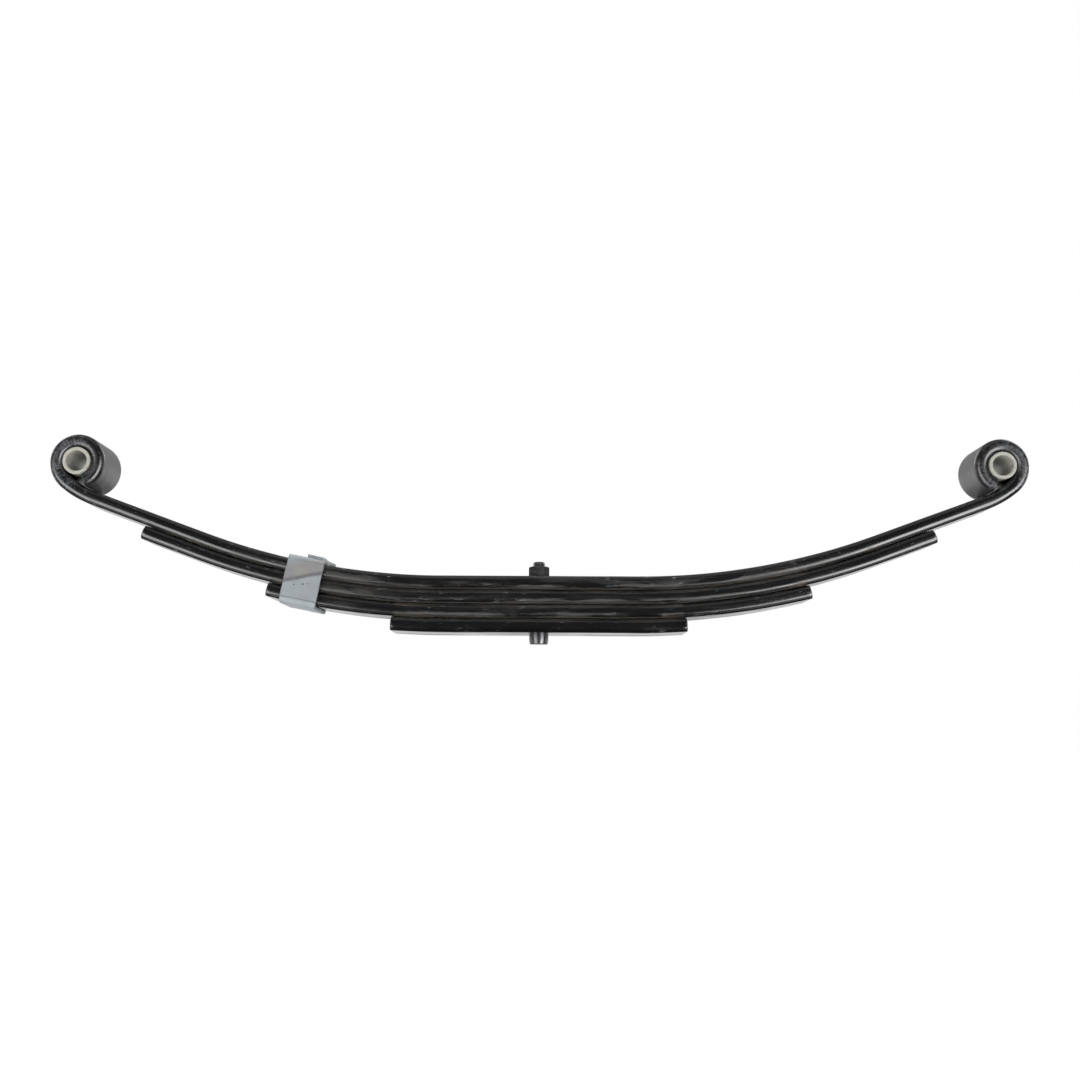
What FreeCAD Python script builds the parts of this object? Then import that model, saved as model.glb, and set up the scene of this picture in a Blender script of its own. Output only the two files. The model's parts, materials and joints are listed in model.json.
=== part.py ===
import FreeCAD, Part

import math
import os

# Cambered leaf spring with four leaves, two rolled eyes and a rebound clip.
# Millimetres and degrees.  The origin is on the centre bolt's axis, at the axle seat
# under the shortest leaf.  +X runs to the rear eye, +Z up, towards the eyes.
#
# A leaf bends as three rigid stretches: a clamped middle and an arm at each end.
# Each arm turns on a half-round knuckle that stands on its own leaf's neutral line.

# Flat bar and camber
EYE_SPAN = 641.35           # between the two eye centres, with no load
LEAF_WIDTH = 44.45
LEAF_THICKNESS = 9.525
LEAF_GAP = 0.3              # air between one leaf and the next
EDGE_ROUND = 4.0            # rolled edges of the bar
SEAT_HALF = 67.15           # half of the straight middle
CAMBER_ANGLE = 20.15        # slope of the straight run that ends in the eye
EYE_STRAIGHT = 100.9        # from the camber's end to the foot below the eye centre

# How far each leaf stops short of the one above it, measured along the main leaf
LEAF_2_STEP = 61.8          # from the foot below the eye centre
LEAF_3_STEP = 92.5
LEAF_4_STEP = 83.4

# Rolled eye and its bush
EYE_LIFT = 5.7125           # from the straight run's neutral line to the rolled eye's own circle
LEAD_RADIUS = 68.0          # gentle first bend of the lead-in, on the neutral line
THROAT_SLACK = 4.7125       # how much wider than the eye the tighter second bend is
THROAT_TURN = 70.0          # how far both bends turn together
EYE_TIP_GAP = 0.35          # from the rolled tip to the leaf below it
BUSH_DIAMETER = 19.05
BUSH_BORE = 14.4
BUSH_PROUD = 0.4            # how far the bush stands out of the eye on each side
BUSH_CHAMFER = 0.5

# Centre bolt and nut
BOLT_DIAMETER = 9.525
BOLT_CLEARANCE = 0.4        # between the shank and the holes in the leaves, on the radius
HEAD_DIAMETER = 13.5
HEAD_HEIGHT = 7.1
HEAD_STRAIGHT = 4.0         # parallel part of the head, below the axle seat
HEAD_TAPER = 0.5            # taken off the radius by the end of the head
HEAD_CHAMFER = 0.4
POINT_DIAMETER = 8.2
POINT_LENGTH = 3.4
POINT_CHAMFER = 0.8
NUT_ACROSS_FLATS = 14.29
NUT_FACE_DIAMETER = 12.6    # flat circle left by the turned-down corners
NUT_HEIGHT = 8.33
NUT_CLEARANCE = 0.05        # between the nut and the shank, on the radius
SPOT_DEPTH = 0.2            # shallow seats cut for the head and the nut
SPOT_MARGIN = 1.0           # how much wider a seat is than what stands in it, on the radius

# Rebound clip, a bent strap around the three upper leaves
CLIP_SETBACK = 22.2         # from the third leaf's end to the strap's centre line
CLIP_WIDTH = 25.4
CLIP_THICKNESS = 2.2
CLIP_EDGE_ROUND = 0.4
CLIP_BEND = 2.0             # inside radius of its corners
CLIP_SIDE_GAP = 0.5         # between a leg and the leaves' edges
CLIP_TOP_GAP = 0.6          # between the lower flap and the main leaf
CLIP_LAP_GAP = 0.1          # between the lower flap and the upper one
CLIP_LOWER_FLAP = 20.0      # straight length of the flap that lies on the main leaf
CLIP_UPPER_SHORT = 3.0      # how far the upper flap stops short of the front leg
CLIP_TIP_WIDTH = 11.0       # the upper flap narrows to this
CLIP_TIP_SHIFT = 5.0        # the narrow tip's middle, towards the centre bolt
CLIP_TAPER = 15.0           # over this length

# Knuckles that let the arms turn
KNUCKLE_PAST = 9.0          # from the shortest leaf's end to the pivots
KNUCKLE_GAP = 0.3

# What follows from them
PITCH = LEAF_THICKNESS + LEAF_GAP
HALF_THICKNESS = LEAF_THICKNESS / 2.0
MAIN_HEIGHT = 3.0 * PITCH + HALF_THICKNESS
STACK_TOP = 3.0 * PITCH + LEAF_THICKNESS
BUSH_RADIUS = BUSH_DIAMETER / 2.0
EYE_RADIUS = BUSH_RADIUS + HALF_THICKNESS
EYE_RISE = EYE_RADIUS + EYE_LIFT
THROAT_RADIUS = EYE_RADIUS + THROAT_SLACK
EYE_CENTRE_X = EYE_SPAN / 2.0
SLOPE = math.radians(CAMBER_ANGLE)
CAMBER_RUN = EYE_CENTRE_X + EYE_RISE * math.sin(SLOPE) - EYE_STRAIGHT * math.cos(SLOPE) - SEAT_HALF
CAMBER_RADIUS = CAMBER_RUN / math.sin(SLOPE)
CAMBER_END = SEAT_HALF + CAMBER_RADIUS * SLOPE
EYE_FOOT = CAMBER_END + EYE_STRAIGHT
LEAF_2_END = EYE_FOOT - LEAF_2_STEP
LEAF_3_END = LEAF_2_END - LEAF_3_STEP
LEAF_4_END = LEAF_3_END - LEAF_4_STEP
PIVOT = LEAF_4_END + KNUCKLE_PAST
HOLE_RADIUS = BOLT_DIAMETER / 2.0 + BOLT_CLEARANCE

UP = FreeCAD.Vector(0, 0, 1)
ACROSS = FreeCAD.Vector(0, 1, 0)


def advance(point, heading, length, turn):
    """Point and heading at the end of a straight or an arc with this length and turn."""
    chord = length
    if turn:
        half_turn = math.radians(turn) / 2.0
        chord = length * math.sin(half_turn) / half_turn
    middle = math.radians(heading + turn / 2.0)
    x = point[0] + chord * math.cos(middle)
    z = point[1] + chord * math.sin(middle)
    return (x, z), heading + turn


def beside(point, heading, offset):
    """Point this far to the left of a heading."""
    angle = math.radians(heading)
    return FreeCAD.Vector(point[0] - offset * math.sin(angle), 0, point[1] + offset * math.cos(angle))


def section(thickness, width, radius):
    """Cross-section of a bar: a rounded rectangle in the YZ plane, centred on the origin."""
    y = width / 2.0 - radius
    z = thickness / 2.0 - radius
    arcs = []
    for quarter, (y_side, z_side) in enumerate(((1, 1), (-1, 1), (-1, -1), (1, -1))):
        angles = [math.radians(90.0 * quarter + step) for step in (0.0, 45.0, 90.0)]
        points = [FreeCAD.Vector(0, y * y_side + radius * math.cos(a), z * z_side + radius * math.sin(a))
                  for a in angles]
        arcs.append(Part.Arc(*points))
    sides = [Part.LineSegment(arcs[k].EndPoint, arcs[(k + 1) % 4].StartPoint) for k in range(4)]
    edges = [edge.toShape() for pair in zip(arcs, sides) for edge in pair]
    return Part.Face(Part.Wire(edges))


def placed(face, point, heading):
    """Cross-section moved to a point of a bar's neutral line, square to its heading."""
    moved = face.copy()
    tilt = FreeCAD.Rotation(ACROSS, -heading)
    moved.Placement = FreeCAD.Placement(FreeCAD.Vector(point[0], 0, point[1]), tilt)
    return moved


def joined(pieces):
    """One solid from pieces that meet face to face."""
    return pieces[0].multiFuse(pieces[1:]).removeSplitter()


def bent_bar(point, heading, moves, face):
    """Pieces of a bar that follows (length, turn) moves: a prism for each straight, and a ring
    sector for each bend.  Also the point and the heading at its end."""
    pieces = []
    for length, turn in moves:
        start = placed(face, point, heading)
        end, end_heading = advance(point, heading, length, turn)
        if turn:
            centre = beside(point, heading, length / math.radians(turn))
            pieces.append(start.revolve(centre, -ACROSS, turn))
        else:
            pieces.append(start.extrude(FreeCAD.Vector(end[0] - point[0], 0, end[1] - point[1])))
        point, heading = end, end_heading
    return pieces, point, heading


LEAF_SECTION = section(LEAF_THICKNESS, LEAF_WIDTH, EDGE_ROUND)


def camber_moves(start, end, depth):
    """Moves between two stations of the main leaf, on a line this far below its own."""
    stretches = ((0.0, SEAT_HALF, 0.0), (SEAT_HALF, CAMBER_END, CAMBER_ANGLE), (CAMBER_END, EYE_FOOT, 0.0))
    moves = []
    for low, high, turn in stretches:
        length = min(end, high) - max(start, low)
        if length > 0.0:
            share = turn * length / (high - low)
            moves.append((length + depth * math.radians(share), share))
    return moves


def camber_point(station, depth):
    """Point at a station of the main leaf and this far below its line, and the slope there."""
    point, heading = (0.0, MAIN_HEIGHT), 0.0
    for length, turn in camber_moves(0.0, station, 0.0):
        point, heading = advance(point, heading, length, turn)
    lowered = beside(point, heading, -depth)
    return (lowered.x, lowered.z), heading


def cylinder(radius, height, base):
    """Upright cylinder on a base point."""
    return Part.makeCylinder(radius, height, base, UP)


def at_other_end(shape):
    """The same shape at the other end of the spring, half a turn about the bolt's axis away."""
    swapped = shape.copy()
    swapped.rotate(FreeCAD.Vector(), UP, 180.0)
    return swapped


def knuckle(point, heading):
    """Half-round end of a leaf: the section's upper half, turned about the neutral line."""
    upper_box = Part.makeBox(2.0, LEAF_WIDTH, LEAF_THICKNESS, FreeCAD.Vector(-1.0, -LEAF_WIDTH / 2.0, 0))
    upper_half = LEAF_SECTION.common(upper_box).Faces[0]
    return placed(upper_half, point, heading).revolve(FreeCAD.Vector(point[0], 0, point[1]), ACROSS, 180)


def middle_leaf(number, end, has_knuckles):
    """Leaf as far as one station on both sides, with the bolt's hole.  Leaf 0 is the main one."""
    depth = number * PITCH
    start, heading = camber_point(0.0, depth)
    pieces, point, heading = bent_bar(start, heading, camber_moves(0.0, end, depth), LEAF_SECTION)
    if has_knuckles:
        pieces.append(knuckle(point, heading))
    leaf = joined(pieces + [at_other_end(piece) for piece in pieces])
    return leaf.cut(cylinder(HOLE_RADIUS, STACK_TOP, FreeCAD.Vector()))


def arm(number, end, more_moves=()):
    """Rear arm of a leaf, from the socket around its knuckle to its end."""
    depth = number * PITCH
    pivot, heading = camber_point(PIVOT, depth)
    moves = camber_moves(PIVOT, end, depth) + list(more_moves)
    pieces, _, _ = bent_bar(pivot, heading, moves, LEAF_SECTION)
    corner = FreeCAD.Vector(pivot[0], -LEAF_WIDTH, pivot[1])
    socket = Part.makeCylinder(HALF_THICKNESS + KNUCKLE_GAP, 2.0 * LEAF_WIDTH, corner, ACROSS)
    return joined(pieces).cut(socket)


def eye_centre():
    """Centre of the rear eye, as a point (x, z)."""
    centre, _ = camber_point(EYE_FOOT, -EYE_RISE)
    return centre


def eye_moves():
    """Lead-in length before the eye's foot, and the moves of the lead-in and the rolled eye."""
    throat = math.radians(THROAT_TURN)
    rise = LEAD_RADIUS - EYE_RISE
    lead = math.acos((rise - THROAT_SLACK * math.cos(throat)) / (LEAD_RADIUS - THROAT_RADIUS))
    back = THROAT_SLACK * math.sin(throat) + (LEAD_RADIUS - THROAT_RADIUS) * math.sin(lead)
    # The rolled tip's outer corner stops short of the lead-in's upper face.
    outer = EYE_RADIUS + HALF_THICKNESS
    reach = math.hypot(back, rise)
    clear = LEAD_RADIUS - HALF_THICKNESS - EYE_TIP_GAP
    corner = math.acos((reach ** 2 + outer ** 2 - clear ** 2) / (2.0 * reach * outer))
    end_heading = math.atan2(rise, -back) + corner + math.pi / 2.0
    roll = end_heading - throat
    return back, [
        (LEAD_RADIUS * lead, math.degrees(lead)),
        (THROAT_RADIUS * (throat - lead), math.degrees(throat - lead)),
        (EYE_RADIUS * roll, math.degrees(roll)),
    ]


def main_arm():
    """Rear arm of the main leaf, which ends in the rolled eye."""
    back, moves = eye_moves()
    return arm(0, EYE_FOOT - back, moves)


def bush():
    """Plastic bush of the rear eye, with chamfered ends."""
    length = LEAF_WIDTH + 2.0 * BUSH_PROUD
    x, z = eye_centre()
    base = FreeCAD.Vector(x, -length / 2.0, z)
    tube = Part.makeCylinder(BUSH_RADIUS, length, base, ACROSS)
    rims = [edge for edge in tube.Edges if len(edge.Vertexes) == 1]
    tube = tube.makeChamfer(BUSH_CHAMFER, rims)
    return tube.cut(Part.makeCylinder(BUSH_BORE / 2.0, length, base, ACROSS))


def turned(corners):
    """Solid of revolution about Z, from the (radius, z) corners of its half section."""
    loop = [FreeCAD.Vector(radius, 0, z) for radius, z in corners + corners[:1]]
    return Part.Face(Part.makePolygon(loop)).revolve(FreeCAD.Vector(), UP, 360)


def center_bolt():
    """Round-headed centre bolt: the head locates the spring in the axle seat."""
    head = HEAD_DIAMETER / 2.0
    shank = BOLT_DIAMETER / 2.0
    point = POINT_DIAMETER / 2.0
    nut_top = STACK_TOP - SPOT_DEPTH + NUT_HEIGHT
    return turned([
        (0.0, -HEAD_HEIGHT),
        (head - HEAD_TAPER - HEAD_CHAMFER, -HEAD_HEIGHT),
        (head - HEAD_TAPER, HEAD_CHAMFER - HEAD_HEIGHT),
        (head, -HEAD_STRAIGHT),
        (head, 0.0),
        (head - SPOT_DEPTH, SPOT_DEPTH),
        (shank, SPOT_DEPTH),
        (shank, nut_top),
        (point, nut_top + shank - point),
        (point, nut_top + POINT_LENGTH - POINT_CHAMFER),
        (point - POINT_CHAMFER, nut_top + POINT_LENGTH),
        (0.0, nut_top + POINT_LENGTH),
    ])


def center_nut():
    """Hexagon nut on the main leaf, with a corner to each side of the spring."""
    base = STACK_TOP - SPOT_DEPTH
    corner = NUT_ACROSS_FLATS / math.sqrt(3.0)
    angles = [math.radians(30.0 + 60.0 * step) for step in range(7)]
    ring = [FreeCAD.Vector(corner * math.cos(a), corner * math.sin(a), base) for a in angles]
    prism = Part.Face(Part.makePolygon(ring)).extrude(UP * NUT_HEIGHT)
    # The corners are turned down at 30 degrees outside the face's circle.
    rim = NUT_FACE_DIAMETER / 2.0
    fall = (corner - rim) * math.tan(math.radians(30.0))
    top = base + NUT_HEIGHT
    blank = turned([(0.0, base), (rim, base), (corner, base + fall),
                    (corner, top - fall), (rim, top), (0.0, top)])
    hole = cylinder(BOLT_DIAMETER / 2.0 + NUT_CLEARANCE, NUT_HEIGHT, FreeCAD.Vector(0, 0, base))
    return prism.common(blank).cut(hole)


def rebound_clip():
    """Strap bent round the three upper leaves of the front arm, with its flaps lapped on top."""
    inner_half = LEAF_WIDTH / 2.0 + CLIP_SIDE_GAP
    inner_height = 2.0 * PITCH + LEAF_THICKNESS + CLIP_TOP_GAP
    lap = CLIP_THICKNESS + CLIP_LAP_GAP
    bend = (math.radians(90.0) * (CLIP_BEND + CLIP_THICKNESS / 2.0), 90.0)
    upper_flap = 2.0 * inner_half - CLIP_BEND - CLIP_UPPER_SHORT
    bottom = 2.0 * (inner_half - CLIP_BEND)
    leg = inner_height - 2.0 * CLIP_BEND
    front = [(CLIP_LOWER_FLAP, 0.0), bend, (leg, 0.0), bend]
    rear = [(bottom, 0.0), bend, (leg + lap, 0.0), bend, (upper_flap, 0.0)]
    start = (CLIP_LOWER_FLAP - inner_half + CLIP_BEND, inner_height + CLIP_THICKNESS / 2.0)
    strap_section = section(CLIP_THICKNESS, CLIP_WIDTH, CLIP_EDGE_ROUND)
    pieces, _, _ = bent_bar(start, 180.0, front + rear, strap_section)
    strap = joined(pieces)
    # Both sides of the upper flap are cut away at a slant towards its tip.
    tip = -inner_half + CLIP_UPPER_SHORT
    floor = inner_height + CLIP_THICKNESS + CLIP_LAP_GAP / 2.0
    for hand in (-1.0, 1.0):
        edge = hand * CLIP_WIDTH / 2.0
        beyond = edge + hand * CLIP_THICKNESS
        tip_edge = hand * CLIP_TIP_WIDTH / 2.0 - CLIP_TIP_SHIFT
        corners = ((tip + CLIP_TAPER, edge), (tip, tip_edge), (tip - CLIP_BEND, tip_edge),
                   (tip - CLIP_BEND, beyond), (tip + CLIP_TAPER, beyond))
        loop = [FreeCAD.Vector(x, y, floor) for x, y in corners + corners[:1]]
        waste = Part.Face(Part.makePolygon(loop)).extrude(UP * 2.0 * CLIP_THICKNESS)
        strap = strap.cut(waste)
    # The strap's own X is the spring's +Y; its foot stands under the third leaf.
    strap.rotate(FreeCAD.Vector(), UP, 90.0)
    foot, slope = camber_point(LEAF_3_END - CLIP_SETBACK, 2.0 * PITCH + HALF_THICKNESS)
    strap.rotate(FreeCAD.Vector(), ACROSS, slope)
    strap.translate(FreeCAD.Vector(-foot[0], 0, foot[1]))
    return strap


def center_nodes():
    """The clamped middle: four leaves, bolt and nut."""
    head_seat = cylinder(HEAD_DIAMETER / 2.0 + SPOT_MARGIN, SPOT_DEPTH, FreeCAD.Vector())
    nut_seat_radius = NUT_ACROSS_FLATS / math.sqrt(3.0) + SPOT_MARGIN
    nut_seat = cylinder(nut_seat_radius, SPOT_DEPTH, FreeCAD.Vector(0, 0, STACK_TOP - SPOT_DEPTH))
    return {
        "main_leaf_center": middle_leaf(0, PIVOT, True).cut(nut_seat),
        "leaf_2_center": middle_leaf(1, PIVOT, True),
        "leaf_3_center": middle_leaf(2, PIVOT, True),
        "leaf_4": middle_leaf(3, LEAF_4_END, False).cut(head_seat),
        "center_bolt": center_bolt(),
        "center_nut": center_nut(),
    }


def arm_nodes():
    """What turns at each end: the rear shapes, and the same ones at the front."""
    rear = {
        "main_leaf": main_arm(),
        "leaf_2": arm(1, LEAF_2_END),
        "leaf_3": arm(2, LEAF_3_END),
    }
    nodes = {}
    for name, shape in rear.items():
        nodes[name + "_rear"] = shape
        nodes[name + "_front"] = at_other_end(shape)
    nodes["rear_bushing"] = bush()
    nodes["front_bushing"] = at_other_end(bush())
    nodes["rebound_clip"] = rebound_clip()
    return nodes


def main():
    os.makedirs("parts", exist_ok=True)
    for name, shape in {**center_nodes(), **arm_nodes()}.items():
        shape.exportStep("parts/" + name + ".step")
        print(name, shape.isValid(), len(shape.Solids), round(shape.Volume, 1))
    pivots = [camber_point(PIVOT, number * PITCH)[0] for number in range(3)]
    print("pivots", [(round(x, 4), round(z, 4)) for x, z in pivots])
    print("eye centre", [round(value, 4) for value in eye_centre()])


main()
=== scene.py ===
import json
import math
from functools import reduce

import bpy
import numpy as np
from mathutils import Matrix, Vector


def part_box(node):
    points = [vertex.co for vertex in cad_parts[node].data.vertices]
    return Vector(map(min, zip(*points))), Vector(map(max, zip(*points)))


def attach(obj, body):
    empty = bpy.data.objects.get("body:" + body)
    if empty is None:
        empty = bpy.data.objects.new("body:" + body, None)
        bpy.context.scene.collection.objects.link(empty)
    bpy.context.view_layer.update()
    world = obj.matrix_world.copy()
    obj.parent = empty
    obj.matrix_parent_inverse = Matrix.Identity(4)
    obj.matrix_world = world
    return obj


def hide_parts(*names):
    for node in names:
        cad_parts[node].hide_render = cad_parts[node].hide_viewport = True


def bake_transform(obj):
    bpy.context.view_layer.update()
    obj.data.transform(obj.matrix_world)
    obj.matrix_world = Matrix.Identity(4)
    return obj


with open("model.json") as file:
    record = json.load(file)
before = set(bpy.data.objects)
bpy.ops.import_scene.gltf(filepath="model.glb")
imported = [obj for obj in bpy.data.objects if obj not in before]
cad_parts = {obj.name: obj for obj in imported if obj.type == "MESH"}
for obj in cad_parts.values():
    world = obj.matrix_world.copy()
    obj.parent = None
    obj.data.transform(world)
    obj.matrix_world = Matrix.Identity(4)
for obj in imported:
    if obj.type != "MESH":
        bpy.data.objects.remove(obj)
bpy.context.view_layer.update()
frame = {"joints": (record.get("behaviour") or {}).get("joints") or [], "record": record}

bl_info = {
    "name": "Leaf spring",
    "version": (1, 0, 0),
    "blender": (4, 5, 0),
    "location": "3D View > Sidebar > Leaf spring",
    "description": "Builds a four-leaf trailer spring with eyes, bushes, bolt and clip around a packed model",
    "category": "Object",
}

# Everything is in metres.  +X runs to the rear eye, +Z up, and the origin is at the axle seat.
MM = 0.001


def listed(rows, name):
    """The row of a record's list that has this name."""
    return next(row for row in rows if row["name"] == name)


def leaf_box(name):
    """Lowest and highest corner of a node, as two arrays."""
    low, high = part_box(name)
    return np.array(low), np.array(high)


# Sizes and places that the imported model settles
MOUNTS = frame["record"]["mounts"]
PITCH = math.dist(listed(frame["joints"], "rear_main_leaf_flex")["pos_m"],
                  listed(frame["joints"], "rear_leaf_2_flex")["pos_m"])
STACK_TOP = listed(MOUNTS, "clamp_seat")["pos_m"][2]
THICKNESS = STACK_TOP - 3.0 * PITCH
HALF_THICKNESS = THICKNESS / 2.0
HALF_WIDTH = leaf_box("leaf_4")[1][1]
MAIN_HEIGHT = STACK_TOP - HALF_THICKNESS
EYE = np.array(listed(MOUNTS, "rear_bushing_bore")["pos_m"])
BORE_RADIUS = listed(MOUNTS, "rear_bushing_bore")["dims"]["r_mm"] * MM
BUSH_LOW, BUSH_HIGH = leaf_box("rear_bushing")
BUSH_RADIUS = BUSH_HIGH[0] - EYE[0]
EYE_RADIUS = BUSH_RADIUS + HALF_THICKNESS
HEAD_RADIUS = listed(MOUNTS, "locating_head")["dims"]["r_mm"] * MM
HEAD_STRAIGHT = listed(MOUNTS, "locating_head")["dims"]["length_mm"] * MM
BOLT_LOW, BOLT_HIGH = leaf_box("center_bolt")
NUT_LOW, NUT_HIGH = leaf_box("center_nut")


def number(name, default, description, **details):
    """A number property; the details are its unit, subtype and limits."""
    return bpy.props.FloatProperty(name=name, description=description, default=default, **details)


def distance(name, default, description):
    """A length property, given in metres."""
    return number(name, default, description, unit="LENGTH", subtype="DISTANCE", precision=5, min=0.0)


def turn(name, default, description):
    """An angle property, given in degrees."""
    return number(name, math.radians(default), description, unit="ROTATION", subtype="ANGLE")


def share(name, default, description):
    """A number from 0 to 1."""
    return number(name, default, description, min=0.0, max=1.0, subtype="FACTOR")


def colour(name, default, description):
    """A colour property, in linear light."""
    return bpy.props.FloatVectorProperty(name=name, description=description, default=default, size=3,
                                         subtype="COLOR", min=0.0, max=1.0)


class LeafSpringShape(bpy.types.PropertyGroup):
    """Sizes of the leaves, the eyes and the small parts"""

    seat_half: distance("Seat half", 0.06715, "Half of the straight middle of the pack")
    camber: turn("Camber", 20.15, "Slope of the straight run that ends in an eye")
    eye_straight: distance("Eye straight", 0.1009, "From the camber's end to the foot below the eye")
    eye_rise: distance("Eye rise", EYE_RADIUS + 0.0057125, "From the straight run's middle to the eye centre")
    lead_radius: distance("Lead radius", 0.068, "First, gentle bend before the eye")
    throat_slack: distance("Throat slack", 0.0047125, "How much wider than the eye the second bend is")
    throat_turn: turn("Throat turn", 70.0, "How far the first two bends turn together")
    tip_gap: distance("Tip gap", 0.00002, "From the rolled tip to the leaf below it")
    edge_round: distance("Edge round", 0.004, "Rounding of the bar's long edges")
    edge_crown: distance("Edge crown", 0.0001, "How far the narrow faces bulge")
    cut_bevel: distance("Cut bevel", 0.0005, "Softening of a leaf's cut end")
    ripple: distance("Ripple", 0.00003, "Unevenness of the rolled bar")
    hole_radius: distance("Hole radius", 0.0051625, "Bolt hole through the leaves")
    bend_zone: distance("Bend zone", 0.03, "On each side of a pivot, where a leaf bends")
    shank_radius: distance("Shank radius", 0.0047625, "Centre bolt's shank")
    head_taper: distance("Head taper", 0.0005, "How much narrower the bolt's head is at its foot")
    thread_pitch: distance("Thread pitch", 0.00106, "Centre bolt's thread")
    thread_radius: distance("Thread radius", 0.00432, "Crest of the thread")
    thread_depth: distance("Thread depth", 0.00036, "From the thread's crest to its root")
    nut_face: distance("Nut face", 0.0063, "Radius of the nut's round faces")
    clip_width: distance("Clip width", 0.0254, "Width of the rebound clip's strap")
    clip_thickness: distance("Clip thickness", 0.0022, "Thickness of the strap")
    clip_bend: distance("Clip bend", 0.002, "Inside radius of the strap's corners")
    clip_side_gap: distance("Clip side gap", 0.0005, "Between a leg and the leaves")
    clip_top_gap: distance("Clip top gap", 0.0006, "Between the lower flap and the main leaf")
    clip_lap_gap: distance("Clip lap gap", 0.0001, "Between the two flaps")
    clip_lower_flap: distance("Lower flap", 0.02, "Straight part of the flap on the main leaf")
    clip_upper_short: distance("Upper flap's end", 0.003, "How far the upper flap stops short of the leg")
    clip_tip_width: distance("Flap tip width", 0.011, "The upper flap narrows to this")
    clip_tip_shift: distance("Flap tip shift", 0.005, "The tip's middle, towards the bolt")
    clip_taper: distance("Flap taper", 0.008, "Length of the narrowing")
    clip_tongue: distance("Clip tongue", 0.024, "Length of the narrow end of the upper flap")
    clip_setback: distance("Clip setback", 0.0222, "From the third leaf's end to the strap's middle")


class LeafSpringFinish(bpy.types.PropertyGroup):
    """Colours and gloss of the finishes"""

    paint: colour("Paint", (0.0028, 0.003, 0.0038), "Black enamel on the leaves")
    paint_roughness: share("Paint roughness", 0.15, "Roughness of clean enamel")
    dust: colour("Dust", (0.031, 0.028, 0.024), "Dust and rubbed paint along the seams")
    rust: colour("Rust", (0.075, 0.048, 0.028), "Brown stain where two leaves rub")
    # Painted shade: this colour darkens the middle of the bushes' bores.
    scuff: colour("Scuff", (0.2, 0.21, 0.24), "Scratches in the paint")
    bore_shade: colour("Grease", (0.05, 0.045, 0.035), "Old grease in the bushes' bores")
    zinc: colour("Zinc", (0.335, 0.365, 0.385), "Zinc plate on the clip")
    zinc_bright: colour("Bright zinc", (0.42, 0.44, 0.45), "Worn specks of the zinc")
    zinc_stain: colour("Zinc stain", (0.29, 0.28, 0.28), "Warm stain on the zinc")
    zinc_yellow: colour("Yellowed zinc", (0.33, 0.325, 0.26), "Middle of the stain")
    zinc_rim: colour("Stain rim", (0.12, 0.115, 0.13), "Dark lower rim of the stain")
    zinc_scratch: colour("Zinc scratch", (0.16, 0.17, 0.18), "Scratches in the zinc")
    # Painted shade: this colour darkens the strap's cut edges and the crease at the foot of the leg.
    edge_shade: colour("Bare edge", (0.05, 0.052, 0.056), "Sheared edges and the crease of the strap")
    pit: colour("Pit", (0.06, 0.06, 0.09), "Small dark pits in the zinc")
    nylon: colour("Nylon", (0.42, 0.42, 0.37), "Off-white plastic of the bushes")
    grime: colour("Grime", (0.2, 0.18, 0.14), "Dirt rubbed into the plastic")
    steel: colour("Steel", (0.12, 0.12, 0.125), "Oiled black steel of the bolt")
    phosphate: colour("Phosphate", (0.06, 0.06, 0.063), "Grey phosphate on the nut")


class LeafSpringStudio(bpy.types.PropertyGroup):
    """Camera and light"""

    camera_distance: distance("Camera distance", 0.9706, "In front of the spring")
    camera_side: distance("Camera side", 0.0005, "Towards the rear eye")
    camera_drop: distance("Camera drop", 0.0615, "Below the axle seat")
    camera_pitch: turn("Camera pitch", 7.5, "Upwards")
    camera_roll: turn("Camera roll", 0.3, "Small tilt of the camera")
    lens: number("Lens", 46.44, "Focal length in millimetres", subtype="DISTANCE_CAMERA")
    floor_drop: distance("Floor drop", 0.21, "From the axle seat down to the floor")
    floor_half: distance("Floor half", 6.0, "Half of the floor's side")
    floor_colour: colour("Floor colour", (0.93, 0.93, 0.93), "Pale floor")
    floor_clear: distance("Floor clear", 0.6, "The floor has its own colour up to here")
    floor_white: distance("Floor white", 1.6, "From here on it glows white and has no visible edge")
    softbox: number("Softbox", 7.0, "Radiance of the front softboxes")
    top_light: number("Top light", 62.0, "Power of the overhead light in watts", unit="POWER")
    top_light_size: distance("Top light size", 2.6, "Diameter of the overhead light")
    top_light_height: distance("Top light height", 1.9, "Above the axle seat")
    top_light_back: distance("Top light set back", 0.3, "Behind the spring")


# ---------------- meshes

def make_piece(name, points, quads, triangles, material, coordinates=None, sharp=None):
    """Mesh object from an array of points and arrays of faces, smooth but for the sharp edges.

    Coordinates are a vector for each point, kept as the attribute 'flat' for the material.
    Sharp is an array of point pairs whose edges stay crisp."""
    mesh = bpy.data.meshes.new(name)
    mesh.from_pydata(points.tolist(), [], quads.tolist() + triangles.tolist())
    mesh.shade_smooth()
    if coordinates is not None:
        flat = mesh.attributes.new("flat", "FLOAT_VECTOR", "POINT")
        flat.data.foreach_set("vector", np.ascontiguousarray(coordinates, np.float32).ravel())
    if sharp is not None:
        ends = np.empty(len(mesh.edges) * 2, np.int64)
        mesh.edges.foreach_get("vertices", ends)
        ends = np.sort(ends.reshape(-1, 2), axis=1)
        wanted = np.sort(np.asarray(sharp), axis=1)
        crisp = np.isin(ends[:, 0] * len(points) + ends[:, 1], wanted[:, 0] * len(points) + wanted[:, 1])
        flags = mesh.attributes.new("sharp_edge", "BOOLEAN", "EDGE")
        flags.data.foreach_set("value", crisp)
    mesh.materials.append(material)
    mesh.validate()
    piece = bpy.data.objects.new(name, mesh)
    bpy.context.scene.collection.objects.link(piece)
    return piece


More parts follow.
